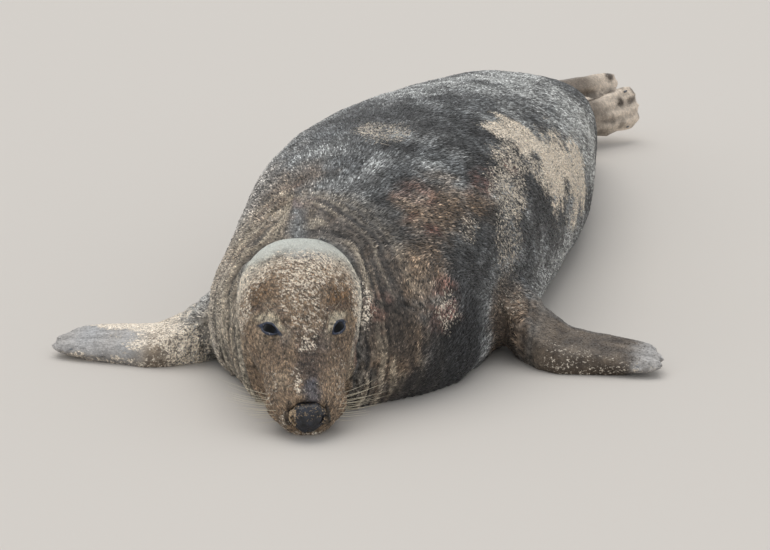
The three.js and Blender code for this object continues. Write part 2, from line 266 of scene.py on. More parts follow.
# Marks on the head, in its own frame.
HEAD_MARKS = {
    "sand": (
        (-4, 276, 85, 150, 52, 120, 0.80),
        (-8, 226, 85, 60, 48, 45, 0.66),
        (4, 172, 70, 40, 50, 40, 0.60),
        (0, 133, 62, 12, 10, 16, 0.80),
        (10, 122, 62, 9, 14, 16, 0.85),
        (-6, 114, 60, 9, 10, 16, 0.65),
        (-16, 60, 40, 13, 34, 24, 0.72),
        (62, 80, 15, 24, 75, 45, 0.42),
        (-62, 80, 15, 24, 75, 45, 0.42),
        (106, 245, 40, 26, 60, 60, 0.75),
        (-112, 245, 30, 30, 75, 70, 0.80),
        (-36, 22, -14, 12, 22, 26, 0.95),
        (0, 14, -40, 34, 22, 12, 0.85),
    ),
    "sore": (
        (94, 142, -10, 7, 40, 50, 0.70),
    ),
    "warm": (
        (66, 214, 74, 26, 36, 36, 1.00),
        (-68, 226, 70, 28, 42, 40, 0.85),
        (-80, 110, -20, 20, 30, 40, 0.70),
    ),
    "umber": (
        (2, 90, 50, 34, 62, 45, 1.00),
        (-52, 130, 30, 22, 40, 40, 0.35),
        (56, 130, 30, 20, 40, 40, 0.35),
    ),
    "slate": (
        (8, 36, 30, 18, 34, 30, 0.90),
        (34, 140, 52, 14, 26, 24, 0.35),
        (-34, 140, 52, 14, 26, 24, 0.35),
        (10, 316, 98, 55, 22, 30, 0.75),
    ),
}


def mark_strength(kind, points, local):
    """How strongly a kind of mark shows at each point, with a ragged edge."""
    total = np.zeros(len(points))
    edge = 0.34 * drift(points, 0.060, 11) + 0.24 * drift(points, 0.019, 12) + 0.20 * drift(points, 0.007, 13)
    for marks, where in ((MARKS, points), (HEAD_MARKS, local)):
        for mark in marks.get(kind, ()):
            middle, reach, strength = np.array(mark[:3]) * MM, np.array(mark[3:6]) * MM, mark[6]
            away = np.linalg.norm((where - middle) / reach, axis=1)
            total = np.maximum(total, strength * smooth_step(away + edge, 1.30, 0.50))
    return total


# ---- Sizes and colours that a user would change ---------------------------------------------
def linear(hex_colour):
    """An sRGB hex colour as the linear one that shaders use."""
    parts = [int(hex_colour[i : i + 2], 16) / 255 for i in (1, 3, 5)]
    return tuple(c / 12.92 if c <= 0.04045 else ((c + 0.055) / 1.055) ** 2.4 for c in parts)


def colour_property(name, description, hex_colour):
    """A colour to choose, with an sRGB hex default."""
    settings = {"subtype": "COLOR", "min": 0, "max": 1, "default": linear(hex_colour)}
    return FloatVectorProperty(name=name, description=description, **settings)


def length_property(name, description, default, least, most):
    """A length to choose, from millimetres."""
    settings = {"unit": "LENGTH", "default": default * MM, "min": least * MM, "max": most * MM}
    return FloatProperty(name=name, description=description, **settings)


class SealColours(bpy.types.PropertyGroup):
    slate_coat: colour_property("Slate coat", "The dark grey of back and flanks", "#5d5f60")
    # Pale grey of the coat, and on the top of the back and rump also a painted sheen.
    pale_coat_and_sheen: colour_property("Pale coat", "Pale grey of rump, flanks and flecks", "#bfc0be")
    # Black coat, and also painted shade in the neck's furrows and in the nostril slits.
    black_coat_and_shade: colour_property("Black coat", "Nearly black chest and shoulder", "#2a2a2b")
    brown_coat: colour_property("Brown coat", "Brown of the neck and chest", "#87715b")
    # Pale hair, and also painted highlight on the crests of the neck's folds and braids.
    neck_pale_and_highlight: colour_property("Neck ridges", "Pale crests of the neck's folds", "#bdb19d")
    scar: colour_property("Scar", "Pinkish brown of old bites", "#75554c")
    head_coat: colour_property("Head coat", "Grey-brown of the face", "#88745f")
    head_warm: colour_property("Warm patches", "Warm brown above the eyes", "#6b5237")
    head_umber: colour_property("Muzzle ridge", "Dark brown along the muzzle", "#574a41")
    head_slate: colour_property("Muzzle slate", "Blue-grey beside the nose and eyes", "#5a5a61")
    # Painted sheen: this pale grey stands in for the sky's reflection on the crown's sleek hair.
    crown: colour_property("Crown", "Smooth pale grey of the crown", "#d8dbd3")
    flipper: colour_property("Flippers", "Sandy grey of the flippers", "#ab9a86")
    # Painted sheen: the bluish white stands in for the sky's reflection on the wet ends of the flippers.
    painted_flipper_sheen: colour_property("Flipper sheen", "Bluish white of the flippers' ends", "#c3c7cc")
    # Dark brown of the flippers, and painted shade along the fore flippers' lower edges near the floor.
    flipper_dark_and_shade: colour_property("Flipper edge", "Dark brown under the flippers", "#4a3e33")
    hind_skin: colour_property("Hind flippers", "Pinkish sand of the hind flippers", "#e8d8c6")
    eyelid: colour_property("Eyelid rim", "Bare blue-grey skin round the eye", "#343b4c")
    eyelid_pale: colour_property("Eyelid hair", "Pale hair of the lids and brow", "#d2c7b1")
    sand: colour_property("Sand", "Dry sand held by the coat", "#e6dac9")


class SealSizes(bpy.types.PropertyGroup):
    voxel: length_property("Skin grid", "Size of the skin's faces before the finer regions are cut", 8, 4, 20)
    coat_depth: length_property("Coat depth", "How far the skin lies inside the solids", 2.5, 0, 10)
    fold_depth: length_property("Neck folds", "Depth of the folds round the neck", 7, 0, 20)
    body_hair: length_property("Body tufts", "Length of a tuft on the body", 13, 2, 60)
    head_hair: length_property("Face tufts", "Length of a tuft on the face", 7, 2, 30)
    tufts_in_piece: IntProperty(
        name="Tufts in a piece",
        description="Tufts in each piece of the coat",
        default=32000,
        min=100,
        max=33000,
    )


# ---- Meshes ---------------------------------------------------------------------------------
def link(data, name):
    """A new object in the scene."""
    made = bpy.data.objects.new(name, data)
    bpy.context.scene.collection.objects.link(made)
    return made


def evaluated(obj):
    """The object's mesh with its modifiers applied, once the object itself is gone."""
    graph = bpy.context.evaluated_depsgraph_get()
    made = bpy.data.meshes.new_from_object(obj.evaluated_get(graph))
    bpy.data.objects.remove(obj)
    return made


def modified(mesh, kind, chosen=None, **settings):
    """The mesh after one modifier, which acts on the chosen points alone if there are any."""
    blank = link(mesh, "blank")
    modifier = blank.modifiers.new("change", kind)
    for name, value in settings.items():
        setattr(modifier, name, value)
    if chosen is not None:
        group = blank.vertex_groups.new(name="chosen")
        group.add(np.nonzero(chosen)[0].tolist(), 1.0, "REPLACE")
        modifier.vertex_group = group.name
    made = evaluated(blank)
    bpy.data.meshes.remove(mesh)
    return made


def numbers(items, name, width, kind=np.float32):
    """One attribute of all the items, as an array."""
    found = np.empty(len(items) * width, kind)
    items.foreach_get(name, found)
    return found.reshape(-1, width) if width > 1 else found


def places(mesh):
    """The vertices' places."""
    return numbers(mesh.vertices, "co", 3).astype(float)


def set_places(mesh, points):
    """Moves the vertices."""
    mesh.vertices.foreach_set("co", points.astype(np.float32).ravel())
    mesh.update()


def facing(mesh):
    """The vertices' normals."""
    return numbers(mesh.vertex_normals, "vector", 3).astype(float)


def move_out(mesh, distance):
    """Moves the vertices outwards along their normals."""
    set_places(mesh, places(mesh) + facing(mesh) * distance[:, None])


def relax(mesh, weight, passes, shrink=0.5, swell=-0.53):
    """The points smoothed along their edges, with the body's volume kept, by as much as weight says."""
    points = places(mesh)
    count = len(points)
    edges = numbers(mesh.edges, "vertices", 2, np.int32)
    ends = np.concatenate([edges[:, 0], edges[:, 1]])
    others = np.concatenate([edges[:, 1], edges[:, 0]])
    degree = np.maximum(np.bincount(ends, minlength=count), 1)[:, None]
    for step in [shrink, swell] * passes:
        mean = np.stack([np.bincount(ends, points[others, k], count) for k in range(3)], axis=1) / degree
        points = points + step * weight[:, None] * (mean - points)
    return points


def solids(names, swell=0.6 * MM):
    """A copy of the named solids, each a little swollen so that neighbours meet."""
    bm = bmesh.new()
    for name in names:
        bm.from_mesh(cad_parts[name].data)
    bmesh.ops.remove_doubles(bm, verts=bm.verts, dist=0.02 * MM)
    bmesh.ops.recalc_face_normals(bm, faces=bm.faces)
    bm.normal_update()
    for vertex in bm.verts:
        vertex.co += vertex.normal * swell
    return finished(bm, "solids")


def finished(bm, name):
    """A new mesh from the bmesh, which is freed."""
    mesh = bpy.data.meshes.new(name)
    bm.to_mesh(mesh)
    bm.free()
    return mesh


def in_grid(mesh, size):
    """The mesh as closed grids of small quads."""
    return modified(mesh, "REMESH", mode="VOXEL", voxel_size=size)


def keep_largest(mesh):
    """Drops every loose bit but the largest."""
    bm = bmesh.new()
    bm.from_mesh(mesh)
    unseen = set(bm.verts)
    largest = []
    while unseen:
        group = [unseen.pop()]
        for vertex in group:
            near = {edge.other_vert(vertex) for edge in vertex.link_edges} & unseen
            unseen -= near
            group.extend(near)
        largest = max(largest, group, key=len)
    kept = set(largest)
    bmesh.ops.delete(bm, geom=[v for v in bm.verts if v not in kept], context="VERTS")
    bm.to_mesh(mesh)
    bm.free()


def refine(mesh, chosen):
    """Cuts the faces between chosen vertices into four."""
    bm = bmesh.new()
    bm.from_mesh(mesh)
    bm.verts.ensure_lookup_table()
    edges = [e for e in bm.edges if chosen[e.verts[0].index] and chosen[e.verts[1].index]]
    bmesh.ops.subdivide_edges(bm, edges=edges, cuts=1, use_grid_fill=True)
    bmesh.ops.triangulate(bm, faces=[f for f in bm.faces if len(f.verts) > 4])
    bm.to_mesh(mesh)
    bm.free()


# ---- The skin's form ------------------------------------------------------------------------
def eye_frame(side):
    """The eye's centre, its slit's direction, the way to its upper lid, and outwards."""
    mirror = np.array([side, 1.0, 1.0])
    outward = unit(np.array(EYE_OUTWARD) * mirror)
    slit = np.array(EYE_SLITS[side])
    slit = unit(slit - outward * np.dot(slit, outward))
    upper = np.cross(slit, outward) * -side
    return np.array(EYE_MIDDLE) * mirror, slit, upper * np.sign(upper[2]), outward


def eye_region(points, reach):
    """Whether each point lies within reach of an eye's middle."""
    local = in_head(points)
    return np.any([np.linalg.norm(local - eye_frame(side)[0], axis=1) < reach for side in (1, -1)], axis=0)


def eye_opening(local, side):
    """Where each point lies near one eye.

    Gives the way to it from the eye's middle, its height over the slit's middle line, how far it lies
    outwards, its share of the way to the lids' edge, and its distance beyond that edge.
    """
    centre, slit, upper, outward = eye_frame(side)
    half_length = EYE_HALF_LENGTHS[side]
    away = local - centre
    along, across, out = away @ slit, away @ upper, away @ outward
    flat = np.hypot(along, across)
    spread = EYE_RADIUS * np.arctan2(flat, out) / np.maximum(flat, 0.1 * MM)
    along, across = along * spread, across * spread
    share = along / half_length
    bow = across - 1.0 * MM * (1 - share**2)
    half_height = np.where(bow > 0, UPPER_LID_HEIGHT, LOWER_LID_HEIGHT)
    half_height = half_height * (1 - 0.15 * smooth_step(np.abs(share), 0.4, 1.0))
    opening = np.hypot(share, bow / half_height)
    beyond = np.hypot(along, bow) * (1 - 1 / np.maximum(opening, 0.05))
    return away, bow, out, opening, beyond


def lid_distance(points):
    """How far beyond the nearer eye's lids each point lies; far from both eyes it is 6 cm."""
    local = in_head(points)
    nearest = np.full(len(points), EYE_NEAR)
    for side in (1, -1):
        away, _, out, _, beyond = eye_opening(local, side)
        near = (out > 0) & (np.linalg.norm(away, axis=1) < EYE_NEAR)
        nearest = np.where(near, np.minimum(nearest, beyond), nearest)
    return nearest


def neck_braid(points):
    """Broken ridges of matted hair from -1 to 1, that run round the neck as its folds do."""
    behind, angle = past_face(in_head(points))
    around = np.radians(angle) * 0.13
    along = behind + 0.010 * drift(points, 0.05, 25)
    level = np.zeros(len(points))
    braid = drift(np.stack([along / 0.016, around / 0.050, level], axis=1), 1.0, 24)
    fine = drift(np.stack([along / 0.008, around / 0.024, level], axis=1), 1.0, 26)
    return np.clip(0.9 * braid + 0.6 * fine, -1, 1)


def neck_folds(points):
    """For the neck's tight folds and for its wide ones: crests (1) and furrows (0), and how far they show."""
    behind, angle = past_face(in_head(points))
    behind = behind + 0.012 * drift(points, 0.12, 21) + 0.008 * drift(points, 0.035, 22)
    flank = smooth_step(np.abs(angle), 35, 95)
    spacing = 0.033 - 0.013 * np.sin(np.radians(angle))
    tight = np.abs(np.sin(np.pi * behind / spacing)) ** 0.7
    wide = np.abs(np.sin(np.pi * (behind - 0.02) / 0.075)) ** 0.6
    broken = np.clip(0.55 + 0.75 * drift(points, 0.05, 23), 0.05, 1.0) * np.where(angle < 0, 1.0, 0.55)
    extent = np.where(angle < 0, 0.28, 0.12)
    shows_tight = smooth_step(behind, -0.004, 0.010) * smooth_step(behind, extent, 0.4 * extent)
    shows_wide = smooth_step(behind, 0.06, 0.16) * smooth_step(behind, 0.46, 0.30)
    shows_tight *= (0.12 + 0.88 * flank) * broken
    shows_wide *= (0.06 + 0.40 * flank) * broken
    return tight, shows_tight, wide, shows_wide


def braid_share(points):
    """How far the neck's braided ridges show: strongest just behind the face."""
    behind, angle = past_face(in_head(points))
    extent = np.where(angle < 0, 0.36, 0.27)
    ends = smooth_step(behind, 0.0, 0.03) * smooth_step(behind, extent, 0.3 * extent)
    return ends * smooth_step(np.abs(angle), 0, 60)


def beside_nose(local):
    """How deep each point lies in the slits of the nostrils, which run down both sides of the nose pad."""
    x, y, z = local.T
    height = np.abs(z - NOSTRIL_HEIGHT)
    slit = hill(np.abs(x) - 0.0365 + 0.25 * height, 0.0032)
    return slit * smooth_step(height, 0.024, 0.014) * smooth_step(y, 0.042, 0.030)


def body_relief(points):
    """Slack rolls of blubber and small lumps of old scars, in millimetres."""
    local = in_head(points)
    rolls = 3.0 * drift(points, 0.16, 41) + 1.6 * drift(points, 0.06, 42)
    rolls += 0.7 * drift(points, 0.020, 44) - 1.5
    scars = mark_strength("pink", points, local) * 2.6 * drift(points, 0.013, 43)
    return rolls * smooth_step(past_face(local)[0], 0.0, 0.06) + scars


def muzzle_relief(points):
    """The head's small forms in millimetres: mouth, nostril slits, whisker rows, ear slits and nose collar."""
    local = in_head(points)
    x, y, z = local.T
    side = np.abs(x)
    mouth = z + 0.042 - 0.07 * (y - 0.122) - 0.004 * np.sin(y / 0.018)
    lips = 2.0 * hill(mouth - 0.010, 0.006) - 5.0 * hill(mouth, 0.0032)
    philtrum = hill(x, 0.0022) * smooth_step(z, -0.022, -0.028) * smooth_step(y, 0.035, 0.020)
    pad = hill(y - 0.050, 0.034) * hill(z + 0.014, 0.030) * smooth_step(side, 0.020, 0.036)
    rows = waves(y + 0.3 * z, 0.0115) * waves(z, 0.0105)
    bridge = hill(x, 0.016) * smooth_step(y, 0.035, 0.060) * smooth_step(y, 0.150, 0.120) * (z > 0)
    cheek = hill(y - 0.150, 0.030) * hill(z - 0.005, 0.030) * smooth_step(side, 0.04, 0.07)
    ear = np.hypot((y - EAR_BEHIND_NOSE) / 0.0035, (z - EAR_HEIGHT) / 0.008)
    move = lips * smooth_step(y, 0.135, 0.118) - 5.0 * beside_nose(local) - 3.0 * philtrum
    move += 0.7 * pad * rows - 1.5 * bridge - 1.5 * cheek
    move += (1.5 * hill(ear - 2.2, 0.7) - 6.0 * hill(ear, 1.0)) * (side > 0.05)
    move *= y < 0.32
    move -= 6.0 * hill(side - 0.080, 0.030) * hill(y - 0.375, 0.045) * (z > 0)
    collar = hill(np.linalg.norm((local - NOSE_MIDDLE) / NOSE_REACH, axis=1) - 1.05, 0.15)
    return move + 3.0 * collar * smooth_step(z, 0.012, 0.026)


def neck_relief(points, depth):
    """The folds of slack skin round the neck, behind a furrow that parts them from the face, in metres."""
    tight, shows_tight, wide, shows_wide = neck_folds(points)
    move = depth * ((tight - 1.0) * shows_tight + 0.9 * (wide - 1.0) * shows_wide)
    move += 2.2 * MM * (neck_braid(points) - 0.4) * braid_share(points)
    behind, angle = past_face(in_head(points))
    move -= 6.0 * MM * hill(behind - 0.004, 0.009) * smooth_step(np.abs(angle), 150, 110)
    return move * (1.0 - any_flipper(points))


def sculpt_flippers(points, normals):
    """Faint digits on the fore flippers, folded webs on the hind ones, and creases over the arms."""
    move = np.zeros(len(points))
    stretch = np.zeros((len(points), 3))
    for spec in FLIPPERS.values():
        x, y, z = in_flipper(points, spec).T
        share = flipper_share(points, spec)
        digits = waves(y - 0.004, 0.026) * smooth_step(x, 0.04, 0.12)
        end = share * smooth_step(x, *((0.10, 0.19) if spec["fore"] else (0.13, 0.22)))
        stretch += np.outer(end * 5.0 * MM, flipper_axes(spec)[:, 0])
        move += 1.5 * end
        if spec["fore"]:
            move += 0.4 * share * digits
            near = (np.abs(y) < 0.2) & (np.abs(z) < 0.12) & (z > 0)
            for crease in (-0.060, -0.038):
                move -= 2.4 * hill(x - crease + 0.008 * drift(points, 0.05, 32), 0.006) * near
        else:
            folds = 0.8 - 4.5 * np.abs(drift(points * np.array([1, 1, 2]), 0.070, 35))
            move += share * (0.4 * drift(points, 0.018, 33) + folds + 0.2 * digits)
    return points + stretch + normals * (move * MM)[:, None]


def sculpt_eyes(points):
    """An almond opening over each eyeball, its thick rims, and the crease and brow above it."""
    local = in_head(points)
    moved = points.copy()
    for side in (1, -1):
        away, bow, out, opening, beyond = eye_opening(local, side)
        reach = np.linalg.norm(away, axis=1)
        near = (reach < 0.055) & (out > 0)
        inside = smooth_step(opening, 1.04, 0.88)
        rim = hill(beyond - 1.8 * MM, 2.2 * MM)
        crease = hill(beyond - 7.0 * MM, 1.8 * MM) * smooth_step(bow, 0.0, 0.006)
        brow = hill(beyond - 13.0 * MM, 4.5 * MM) * smooth_step(bow, 0.0, 0.010)
        bag = hill(beyond - 7.5 * MM, 2.0 * MM) * smooth_step(bow, 0.0, -0.006)
        lidded = np.maximum(reach, EYE_RADIUS + LID_THICKNESS + 1.4 * rim * MM)
        lidded = lidded + (-1.8 * crease + 2.2 * brow - 1.2 * bag) * MM
        target = lidded * (1 - inside) + 0.80 * EYE_RADIUS * inside
        world = out_of_head(eye_frame(side)[0] + away * (target / np.maximum(reach, 1e-6))[:, None])
        moved = np.where(near[:, None], world, moved)
    return moved


def skin_form(sizes):
    """The flesh as one closed skin, inside the solids by the coat's depth."""
    mesh = in_grid(solids(FLESH_NODES), sizes.voxel)
    keep_largest(mesh)

    def smooth(passes, thin=0.0):
        """Smooths all but the flats on the floor, and the head, flippers and tail less by the share thin."""
        points = places(mesh)
        fine = np.maximum(any_flipper(points), smooth_step(in_head(points)[:, 1], 0.26, 0.16))
        fine = np.maximum(fine, hill(np.linalg.norm(points - np.array(TAIL_MIDDLE), axis=1), 0.07))
        above = points[:, 2] > (2 * MM if thin else 1 * MM)
        set_places(mesh, relax(mesh, (1.0 - thin * fine) * above, passes))

    smooth(30, thin=0.75)
    points = places(mesh)
    folded = (past_face(in_head(points))[0] < 0.24) & (points[:, 2] > 0.003)
    refine(mesh, folded | (any_flipper(points) > 0.02))
    smooth(2)
    x, y, _ = in_head(places(mesh)).T
    refine(mesh, (y < 0.25) & (np.abs(x) < 0.14))
    smooth(2)
    refine(mesh, eye_region(places(mesh), 0.042))
    smooth(1)
    move_out(mesh, -sizes.coat_depth * smooth_step(places(mesh)[:, 2], 0.0, 6 * MM))
    move_out(mesh, body_relief(places(mesh)) * MM)
    move_out(mesh, muzzle_relief(places(mesh)) * MM)
    set_places(mesh, sculpt_flippers(places(mesh), facing(mesh)))
    move_out(mesh, neck_relief(places(mesh), sizes.fold_depth))
    points = sculpt_eyes(places(mesh))
    points[:, 2] = np.where(points[:, 2] < 3 * MM, FLOOR_LEVEL, points[:, 2])
    set_places(mesh, points)
    mesh.calc_loop_triangles()
    ratio = SKIN_TRIANGLES / len(mesh.loop_triangles)
    mesh = modified(mesh, "DECIMATE", chosen=~eye_region(points, 0.030), ratio=ratio)
    mesh.shade_smooth()
    return mesh


# ---- The coat's colour, with painted light and shade, the same on skin and coat -------------
def layered(shade, layers):
    """The colours with each layer's colour laid over them in turn, by its amount for each point."""
    for colour, amount in layers:
        shade = shade + (np.array(colour) - shade) * np.clip(amount, 0, 1)[:, None]
    return shade


def hollows(mesh):
    """How far each point lies in a hollow (towards -1) or on a crest (towards 1) a few centimetres across."""
    points = places(mesh)
    spread = relax(mesh, np.ones(len(points)), 6, 0.6, 0.0)
    depth = np.sum((points - spread) * facing(mesh), axis=1)
    return np.clip(depth / (1.2 * MM), -1.0, 1.0)


def trunk_shade(points, local, colours):
    """Mottled slate with pale, brown and black parts and old bites; the pale parts are also a painted sheen on
    the top of the back and rump, and the neck's folds and braids get painted highlight on their crests and
    painted shade in their furrows.
    """
    behind, angle = past_face(local)
    mottle = drift(points, 0.05, 52)
    streak = drift(points * np.array([1.0, 0.35, 1.0]), 0.022, 53)
    black = mark_strength("black", points, local)
    bites = mark_strength("pink", points, local) * smooth_step(drift(points, 0.016, 57), -0.5, 0.4)
    tight, shows_tight, wide, shows_wide = neck_folds(points)
    crest = smooth_step(tight, 0.50, 0.92)
    braid = neck_braid(points)
    braided = braid_share(points) * (1 - 0.8 * black)
    furrowed = smooth_step(braid, np.where(angle > 0, 0.15, -0.05), -0.55)
    right_neck = smooth_step(angle, -20, -70) * smooth_step(behind, 0.34, 0.14)
    layers = (
        (colours.black_coat_and_shade, 0.90 * smooth_step(streak, -0.10, 0.6)),
        (colours.pale_coat_and_sheen, 0.36 * smooth_step(mottle, -0.1, 0.8)),
        # Pale marks, also a painted sheen on the top of the back and rump.
        (colours.pale_coat_and_sheen, mark_strength("pale", points, local) * (0.85 + 0.3 * streak)),
        (colours.brown_coat, 0.9 * mark_strength("brown", points, local)),
        (colours.black_coat_and_shade, black),
        (colours.scar, bites),
        (colours.brown_coat, np.where(angle > 0, 0.40, 0.60) * braided),
        # Painted highlight on the crests and painted shade in the furrows, of the braids and then of the
        # folds.
        (colours.neck_pale_and_highlight, 0.60 * braided * smooth_step(braid, 0.05, 0.65)),
        (colours.black_coat_and_shade, 0.85 * braided * furrowed),
        (colours.neck_pale_and_highlight, np.where(angle > 0, 0.35, 0.60) * shows_tight * crest * (1 - black)),
        (colours.black_coat_and_shade, 0.80 * shows_tight * (1 - crest) + 0.3 * shows_wide * (wide < 0.5)),
        (colours.neck_pale_and_highlight, 0.50 * right_neck * (0.5 + 0.5 * mottle)),
    )
    return layered(np.array(colours.slate_coat), layers)


def face_shade(points, local, colours, sheen):
    """Brown with umber down the muzzle, a pale edge, a painted sheen over the crown, painted shade in the
    nostril slits, and bare blue-grey lids.
    """
    behind, angle = past_face(local)
    wide = np.abs(angle)
    layers = [
        (colours.head_warm, mark_strength("warm", points, local)),
        (colours.head_umber, 0.95 * mark_strength("umber", points, local)),
        (colours.head_slate, 0.9 * mark_strength("slate", points, local)),
        (colours.neck_pale_and_highlight, 0.25 * smooth_step(drift(points, 0.05, 52), 0.1, 0.8)),
        (colours.neck_pale_and_highlight, 0.45 * smooth_step(behind, -0.040, -0.012) * smooth_step(wide, 130, 90)),
        # Painted sheen over the crown and down the face's sides, brightest towards the back.
        (colours.crown, 0.40 * smooth_step(behind, -0.055, -0.020) * smooth_step(wide, 95, 60)),
        (colours.crown, sheen * (0.72 + 0.28 * smooth_step(local[:, 1], 0.330, 0.365))),
        # Painted shade in the nostril slits.
        (colours.black_coat_and_shade, 0.85 * beside_nose(local)),
        (colours.scar, mark_strength("sore", points, local)),
    ]
    for side in (1, -1):
        away, bow, out, _, beyond = eye_opening(local, side)
        front = (out > 0) & (np.linalg.norm(away, axis=1) < EYE_NEAR)
        ragged = beyond + 1.5 * MM * drift(points, 0.006, 59) - np.where(bow > 0, 0.6 * MM, 1.8 * MM)
        upper = 0.10 + 0.75 * smooth_step(bow, 0.002, 0.010)
        layers += [
            (colours.eyelid_pale, upper * smooth_step(ragged, 14.0 * MM, 8.0 * MM) * front),
            (colours.head_umber, 0.6 * hill(ragged - 15.0 * MM, 3.0 * MM) * front * (bow > 0)),
            (colours.eyelid, smooth_step(ragged, 3.6 * MM, 2.4 * MM) * front),
        ]
    return layered(np.array(colours.head_coat), layers)


def fore_marks(left, points, place, colours):
    """The layers of colour on a fore flipper, with a painted sheen at its end and painted shade along its
    lower edge near the floor, and the sand that it holds.
    """
    x, y, _ = place.T
    lead = -y if left else y  # towards the leading edge
    ragged = 0.010 * drift(points, 0.018, 55) + 0.006 * drift(points, 0.007, 56)
    # How near the floor each point lies: it gives sand there and painted shade.
    under = smooth_step(points[:, 2] + ragged, 0.026, 0.010)
    layers = [(colours.flipper, np.ones(len(points)))]
    if left:
        dim = (0.88 + 0.22 * drift(points, 0.016, 60)) * smooth_step(x + ragged, 0.20, 0.13)
        edge = smooth_step(lead + ragged, -0.030, -0.055) * smooth_step(x, 0.19, 0.14)
        layers += [(colours.flipper_dark_and_shade, dim), (colours.slate_coat, 0.7 * edge)]
        sand = 0.14 + 0.34 * smooth_step(lead + ragged, 0.015, 0.050)
        end = smooth_step(x + ragged, 0.13, 0.18)
    else:
        slant = lead + 0.35 * (x - 0.05) + ragged
        sand = np.maximum(1.20 * smooth_step(slant, 0.010, -0.010), 0.75 * under)
        end = smooth_step(x, 0.0, 0.06)
    mottle = drift(points, 0.05, 52)
    layers += [
        # Painted sheen towards the flipper's end.
        (colours.painted_flipper_sheen, 0.85 * end * (0.8 + 0.2 * mottle)),
        # Painted shade along the lower edge, where it nears the floor.
        (colours.flipper_dark_and_shade, 0.8 * under * (0.7 + 0.3 * mottle)),
    ]
    return layers, sand


def hind_marks(left, points, place, colours):
    """The layers of colour on a hind flipper, and the sand that it holds."""
    x, y, _ = place.T
    specks = smooth_step(drift(points, 0.020, 54), 0.15, 0.6) * smooth_step(x, 0.10, 0.20)
    layers = [(colours.hind_skin, np.ones(len(points))), (colours.flipper_dark_and_shade, 0.75 * specks)]
    for digit in (-0.044, 0.006, 0.052):
        spot = np.hypot(x - 0.214, y - digit) + 0.004 * drift(points, 0.008, 65)
        layers.append((colours.flipper_dark_and_shade, 0.95 * smooth_step(spot, 0.016, 0.006)))
    if not left:
        base = smooth_step(x + 0.3 * y + 0.02 * drift(points, 0.03, 66), 0.20, 0.13)
        layers.append((colours.flipper_dark_and_shade, 0.75 * base))
    return layers, 0.10


def markings_and_painted_light(mesh, colours):
    """The coat's colour with painted shade in its hollows and painted light on its crests, how much sand it
    holds, and how sleek it lies.
    """
    points = places(mesh)
    local = in_head(points)
    behind, angle = past_face(local)
    on_head = smooth_step(behind + 0.006 * drift(points, 0.03, 51), 0.006, -0.006)
    # Painted sheen: a pale band over the crown for the sky's reflection on its sleek hair, which also lies
    # glossier there.
    sheen = smooth_step(local[:, 1] + 0.010 * drift(points, 0.03, 58), 0.300, 0.336)
    sheen = sheen * (1 - 0.35 * smooth_step(np.abs(angle), 50, 85))
    shade = trunk_shade(points, local, colours)
    shade = shade + (face_shade(points, local, colours, sheen) - shade) * on_head[:, None]
    sand = np.maximum(mark_strength("sand", points, local), 0.22 * on_head)
    sleek = sheen * on_head
    for name, spec in FLIPPERS.items():
        share = flipper_share(points, spec)
        marks = fore_marks if spec["fore"] else hind_marks
        layers, held = marks(name.endswith("left"), points, in_flipper(points, spec), colours)
        shade = layered(shade, [(colour, amount * share) for colour, amount in layers])
        sand = np.maximum(sand, held * share)
        sleek = np.maximum(sleek, (0.75 if spec["fore"] else 0.85) * share)
    # Painted shade and light: the colour is darkened by up to a half in the skin's hollows and lightened by up
    # to a fifth on its crests; the hollows also hold less sand.
    cupped = hollows(mesh)
    sunk, raised = np.minimum(cupped, 0), np.maximum(cupped, 0)
    shade = shade * (1.0 + 0.50 * sunk + 0.20 * raised)[:, None]
    return np.clip(shade, 0, 1), sand * (1.0 + 0.4 * sunk), sleek


def store(mesh, name, values):
    """Keeps one value, or one colour, for each vertex."""
    kind, field = ("FLOAT_COLOR", "color") if values.ndim == 2 else ("FLOAT", "value")
    mesh.attributes.new(name, kind, "POINT").data.foreach_set(field, values.astype(np.float32).ravel())


def store_markings(mesh, shade, sand, wet, tone):
    """Keeps what the coat's material reads."""
    store(mesh, "MarkingsAndPaintedLight", np.concatenate([shade, np.ones((len(shade), 1))], axis=1))
    for name, values in (("Sand", sand), ("Wet", wet), ("Tone", tone)):
        store(mesh, name, values)


# ---- Materials ------------------------------------------------------------------------------
def feed(tree, node, inputs):
    """Gives a node's inputs, by name or number, a value or a link from an outlet or a node's first outlet."""
    for name, value in inputs.items():
        if isinstance(value, bpy.types.Node):
            value = next(outlet for outlet in value.outputs if outlet.enabled)
        if isinstance(value, bpy.types.NodeSocket):
            tree.links.new(value, node.inputs[name])
        else:
            node.inputs[name].default_value = value


def add(tree, kind, *inputs, **settings):
    """Adds a node: its first inputs in order, and its properties and other inputs by name."""
    node = tree.nodes.new("ShaderNode" + kind)
    named = {name: value for name, value in settings.items() if not hasattr(node, name)}
    for name, value in settings.items():
        if name not in named:
            setattr(node, name, value)
    used = [number for number, socket in enumerate(node.inputs) if socket.enabled]
    feed(tree, node, {**named, **dict(zip(used, inputs))})
    return node


def set_stops(ramp, *stops):
    """Gives a colour ramp its positions and sRGB hex colours."""
    elements = ramp.color_ramp.elements
    for index, (position, colour) in enumerate(stops):
        stop = elements[index] if index < 2 else elements.new(position)
        stop.position = position
        stop.color = (*linear(colour), 1)


def new_material(name):
    """A material, its node tree and its shader."""
    made = bpy.data.materials.new(name)
    made.use_nodes = True
    return made, made.node_tree, made.node_tree.nodes["Principled BSDF"]


def per_metre(size):
    """A pattern's scale from the real size of its features."""
    return 1.0 / size


